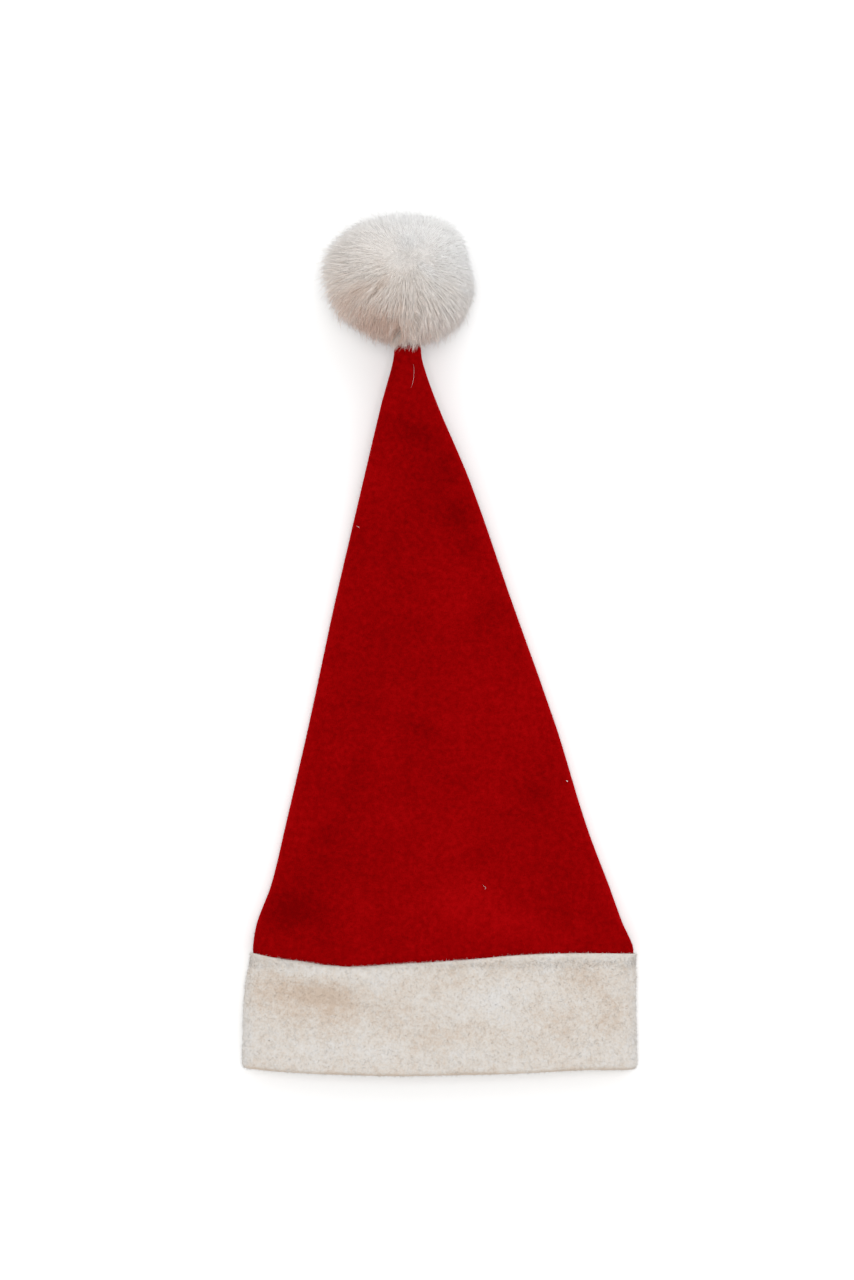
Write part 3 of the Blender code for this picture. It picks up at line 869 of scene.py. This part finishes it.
def furPlace(ways, out):  # a direction and a share of the fur's length give a place on the hat
    halfX, halfY = hat["pompomWidth"] / 2, hat["pompomLength"] / 2
    bearing = np.degrees(np.arctan2(ways[:, 1] * halfY, ways[:, 0] * halfX)) % 360
    bulge = 1 + (bulgeCurve(bearing) - 1) * (1 - ways[:, 2] ** 2)
    x = ways[:, 0] * (halfX - pompom["fur"] + (halfX * bulge - halfX + pompom["fur"]) * out)
    y = ways[:, 1] * (halfY - pompom["fur"] + (halfY * bulge - halfY + pompom["fur"]) * out)
    above = ways[:, 2] * (hat["pompomHeight"] - headPlace[2] - pompom["fur"] * (1 - out))
    lowest = headPlace[2] - pompom["furBelow"] * (1 - out)
    below = np.maximum(ways[:, 2] * lowest * (1 + (pompom["pressed"] - 1) * out), -lowest)
    made = headPlace + np.stack([x, y, np.where(ways[:, 2] > 0, above, below)], axis=1)

    left, right, under, fold, arch = sectionAt(np.minimum(made[:, 1], tip))
    away = np.stack([made[:, 0] - (left + right) / 2, made[:, 2] - (under + fold + arch / 2)], axis=1)
    roomX, roomZ = pompom["room"]
    room = np.stack([(right - left) / 2 + roomX, fold + arch / 2 + roomZ], axis=1)
    reach = np.maximum(np.linalg.norm(away / room, axis=1), 1e-4)
    keep = ease(out / 0.5) * ease((tip + 0.008 - made[:, 1]) / 0.008)
    away *= (np.sqrt(reach**2 + keep**2) / reach)[:, None]
    made[:, 0] = (left + right) / 2 + away[:, 0]
    made[:, 2] = np.maximum(under + fold + arch / 2 + away[:, 1], 0.0)
    return made


# partings: start and end from the head's middle, seen from above, half-width and how far fur moves aside
partings = (
    ((-0.0135, -0.0050), (-0.0262, -0.0182), 0.0030, 0.0013),
    ((-0.0062, -0.0372), (-0.0069, -0.0450), 0.0036, 0.0034),
    ((0.0085, -0.0225), (0.0050, -0.0351), 0.0036, 0.0030),
)


def partFur(places, share):
    for start, end, width, aside in partings:
        a, b = np.array(start), np.array(end)
        run = b - a
        flat = places[:, :2] - headPlace[:2] - a
        along = np.clip(flat @ run / (run @ run), 0, 1)
        off = flat - along[:, None] * run
        far = np.linalg.norm(off, axis=1)
        strength = aside * share * np.exp(-((far / width) ** 2)) * (places[:, 2] > headPlace[2])
        places[:, :2] += off / np.maximum(far, 1e-5)[:, None] * strength[:, None]
    return places


def sphereSpots(count, rng, wobble):  # evenly spread directions
    index = np.arange(count) + 0.5
    height = 1 - 2 * index / count
    turn = math.pi * (1 + 5**0.5) * index
    flat = np.sqrt(1 - height**2)
    spots = np.stack([flat * np.cos(turn), flat * np.sin(turn), height], axis=1)
    return unit(spots + wobble / math.sqrt(count) * rng.normal(size=spots.shape))


furRng = np.random.default_rng(pompom["seed"])
clumpWays = sphereSpots(pompom["clumps"], furRng, 1.1)
clumpTone = furRng.normal(0, pompom["clumpTone"], pompom["clumps"])
clumpLength = furRng.normal(0, pompom["clumpLength"], pompom["clumps"])
clumpTurn = pompom["clumpTurn"] * furRng.normal(size=(pompom["clumps"], 3))


def paintedFurLighting(places):  # painted light and shade: warm and darker below and at the left, cool white beyond the whorl, less the fur's painted shade patches
    along = (places[:, 1] - headPlace[1]) / hat["pompomLength"]
    across = (places[:, 0] - headPlace[0]) / hat["pompomWidth"]
    lit = 0.72 + np.where(along < 0, 1.15, 0.75) * along + 0.58 * across
    return lit - patchShade(furShadeAndLight, places[:, 0], places[:, 1]) * (places[:, 2] > headPlace[2])


def combedShare(roots):  # 1 where the fur lies combed towards the crown, 0 where it stands
    return ease(0.40 - 1.2 * roots[:, 1])


def growFur(count, stops, reach, seed):  # hairs as rows of places, and how white each is, with painted light and shade and random tone
    rng = np.random.default_rng(seed)
    roots = unit(sphereSpots(count, rng, 1.2) + pompom["crowd"] * whorl)
    tipWay = np.array([0.0, -1.0, (tipFloor + tipFold - pompomZ) / 0.03])
    roots = roots[roots @ unit(tipWay) < 0.975]  # none grows where the crown goes in
    clump = np.argmax(roots @ clumpWays.T, axis=1)
    long = rng.random(len(roots)) < pompom["longShare"]
    longer = rng.uniform(*pompom["longReach"], len(roots))
    lengths = np.where(long, longer, rng.normal(*pompom["shortReach"], len(roots)))
    lengths *= reach * (1 + clumpLength[clump])
    swirl = np.stack([softWaves(roots, 0.9, turn) for turn in (31, 32, 33)], axis=1)
    jitter = rng.normal(size=roots.shape)
    laid = combedShare(roots)[:, None]
    gather = pompom["pull"][0] + (pompom["pull"][1] - pompom["pull"][0]) * laid
    stray = pompom["stray"][0] - pompom["stray"][1] * laid
    path = []
    for share in stops:
        way = combed(roots, share)
        goal = combed(clumpWays, share)[clump] + share * clumpTurn[clump]
        hold = gather * share**1.3
        way = way * (1 - hold) + goal * hold
        way = unit(way + pompom["swirl"] * swirl * share + stray * jitter * share)
        path.append(partFur(furPlace(way, share * lengths), share))
    path = np.stack(path, axis=1)
    tone = paintedFurLighting(path[:, -1]) + clumpTone[clump] * (0.2 + 0.8 * laid[:, 0])
    tone += rng.normal(0, 0.05, len(roots))
    return path, np.clip(tone, 0, 1)


def growFringe(count, seed):  # hairs from above the seam that lie over the end of the crown
    rng = np.random.default_rng(seed)
    lock = rng.integers(0, pompom["fringeLocks"], count)
    turn = np.linspace(-1.3, 1.3, pompom["fringeLocks"])[lock] + rng.normal(0, 0.11, count)
    lie = rng.uniform(0.0004, 0.0026, count)
    hang = (0.25 + 0.75 * rng.random(pompom["fringeLocks"]))[lock]
    ends = tip - 0.0005 - 0.0085 * hang * rng.random(count) ** 0.7
    lean = rng.normal(0, 0.0022, pompom["fringeLocks"])[lock] + rng.normal(0, 0.0006, count)
    path = []
    for share in pompom["fringeStops"]:
        y = (1 - share) * (tip + 0.006) + share * ends
        left, right, under, fold, arch = sectionAt(y)
        high = lie * (1 - 0.5 * share) + 0.0045 * (1 - share) ** 1.5
        x = (left + right) / 2 + np.sin(turn) * ((right - left) / 2 + high) + lean * share
        z = under + fold + np.cos(turn) * (fold + arch + high)
        path.append(np.stack([x, y, z], axis=1))
    path = np.stack(path, axis=1)
    # painted shade: these hairs take the warm, shaded end of the tints, with random spread
    return path, np.clip(0.30 + rng.normal(0, 0.12, count), 0, 1)


def addFur(name, path, tones, radius, taper, seed):
    radii = radius * np.array(taper)[None] * np.random.default_rng(seed).uniform(0.8, 1.2, (len(path), 1))
    data = strandMesh(name, path + shift, radii, {"tone": tones}, seed)
    return addPiece(name, data, furFinish, "pompom")


shape = bmesh.new()
bmesh.ops.create_icosphere(shape, subdivisions=pompom["headDetail"], radius=1)
ways = np.array([vertex.co[:] for vertex in shape.verts])
core = pompom["core"][1] + (pompom["core"][0] - pompom["core"][1]) * combedShare(ways)
headSpots = furPlace(unit(ways), core + 0.03 * softWaves(ways, 0.35, 41)) + shift
for vertex, spot in zip(shape.verts, headSpots):
    vertex.co = spot
headData = meshOf("pompom_head", shape)
headTone = np.clip(paintedFurLighting(headSpots - shift) - pompom["headShade"], 0, 1)
headAlong = np.full(len(headSpots), pompom["headAlong"])
for key, values in (("tone", headTone), ("along", headAlong)):
    headData.attributes.new(key, "FLOAT", "POINT").data.foreach_set("value", values)
addPiece("pompom_head", headData, furFinish, "pompom")

underPath, underTone = growFur(pompom["underCount"], pompom["underStops"], pompom["underReach"], 51)
addFur("pompom_underfur", underPath, underTone, pompom["underRadius"], pompom["underTaper"], 52)
guardPath, guardTone = growFur(pompom["guardCount"], pompom["guardStops"], 1.0, 53)
upper = guardPath[:, 0, 2] > headPlace[2]
fringePath, fringeTone = growFringe(pompom["fringeCount"], 56)
for name, path, tones, seed in (
    ("pompom_fur_upper", guardPath[upper], guardTone[upper], 54),
    ("pompom_fur_lower", guardPath[~upper], guardTone[~upper], 55),
    ("pompom_fringe", fringePath, fringeTone, 57),
):
    addFur(name, path, tones, pompom["guardRadius"], pompom["hairTaper"], seed)
print("santa hat: pompom", len(guardPath) + len(underPath) + len(fringePath), "hairs")

# Shed hairs and specks that lie on the cloth: start and end in mm, radius, bow to the right
shed = (
    ("shed_hair_tip", (-17.1, 461.5), (-18.6, 446.0), 0.00005, 0.0009, "pompom_fur"),
    ("shed_hair_low", (28.0, 122.5), (29.6, 119.6), 0.00008, 0.0009, "pompom_fur"),
    ("shed_hair_left", (-54.6, 357.2), (-53.2, 355.8), 0.00010, 0.0009, "pompom_fur"),
    ("lint_right", (83.0, 190.4), (84.0, 189.5), 0.00030, 0.0, "pompom_fur"),
    ("speck_cuff", (-111.7, 21.5), (-111.3, 20.9), 0.00030, 0.0, "cuff_fleece"),
)


def makeSpeck(name):
    made, tree, shader = newMaterial(name)
    place = addNode(tree, "ShaderNodeTexCoord").outputs["Object"]
    fleck = noiseOf(tree, place, 0.0004, 2.0)
    stops = ((0.35, (0.060, 0.040, 0.032)), (0.65, (0.110, 0.080, 0.065)))
    tree.links.new(rampOf(tree, fleck, stops), shader.inputs["Base Color"])
    shader.inputs["Roughness"].default_value = 0.9
    return made


lieOn = {"pompom_fur": (crownTree, furFinish), "cuff_fleece": (cuffTree, makeSpeck("dark_speck"))}
for name, start, end, radius, bow, slotName in shed:
    cloth, finish = lieOn[slotName]
    path = []
    for share in np.linspace(0, 1, 7):
        x = (start[0] + (end[0] - start[0]) * share) / 1000 + bow * math.sin(math.pi * share)
        y = (start[1] + (end[1] - start[1]) * share) / 1000
        hit = cloth.ray_cast(Vector((x + shift[0], y + shift[1], 0.2)), Vector((0, 0, -1)))[0]
        path.append(hit + Vector((0, 0, 0.0002 + radius)))
    radii = radius * np.array([[0.7, 1, 1, 1, 1, 0.9, 0.5]])
    addPiece(name, strandMesh(name, np.array([path]), radii, {"tone": [0.9]}, 61), finish)
print("santa hat: shed hairs laid")

# Studio: pale floor, soft light from beyond the tip, camera straight above
studio = {
    "floorSize": 4,  # from its middle to each side
    "floorDrop": 0.0004,  # room for the loosest fibres under the hat
    "cameraPlace": (-0.0083, 0.0032, 2.0),
    "lens": 85.2,
    "sky": 0.90,
    "lamps": (
        # name, place, size, power, colour
        ("key", (0.45, 1.45, 1.45), 1.3, 6, (0.97, 0.985, 1.0)),
        ("overhead", (0.0, 0.10, 2.6), 1.1, 22, (1.0, 0.995, 0.985)),
    ),
}
floorFinish, tree, shader = newMaterial("pale_floor")
place = addNode(tree, "ShaderNodeTexCoord").outputs["Object"]
tree.links.new(
    rampOf(tree, noiseOf(tree, place, 0.3, 2.0), ((0.3, (0.93, 0.93, 0.93)), (0.7, (0.95, 0.95, 0.95)))),
    shader.inputs["Base Color"],
)
shader.inputs["Roughness"].default_value = 0.9
shader.inputs["Specular IOR Level"].default_value = 0.1
shape = bmesh.new()
bmesh.ops.create_grid(shape, x_segments=4, y_segments=4, size=studio["floorSize"])
bmesh.ops.translate(shape, verts=shape.verts[:], vec=(0, 0, -studio["floorDrop"]))
floorData = meshOf("floor", shape)
floorData.materials.append(floorFinish)
floor = bpy.data.objects.new("floor", floorData)
scene.collection.objects.link(floor)

world = bpy.data.worlds.new("studio")
scene.world = world
world.use_nodes = True
world.node_tree.nodes["Background"].inputs["Color"].default_value = (1.0, 1.0, 1.0, 1)
world.node_tree.nodes["Background"].inputs["Strength"].default_value = studio["sky"]

for name, spot, size, power, colour in studio["lamps"]:
    lampData = bpy.data.lights.new(name, "AREA")
    lampData.size = size
    lampData.energy = power
    lampData.color = colour
    lamp = bpy.data.objects.new(name, lampData)
    lamp.location = spot
    lamp.rotation_euler = (Vector((0, 0.05, 0)) - lamp.location).to_track_quat("-Z", "Y").to_euler()
    scene.collection.objects.link(lamp)

cameraData = bpy.data.cameras.new("camera")
cameraData.lens = studio["lens"]
cameraData.clip_end = 20
camera = bpy.data.objects.new("camera", cameraData)
camera.location = studio["cameraPlace"]
scene.collection.objects.link(camera)
scene.camera = camera
scene.view_settings.view_transform = "Standard"
print("santa hat: studio set")
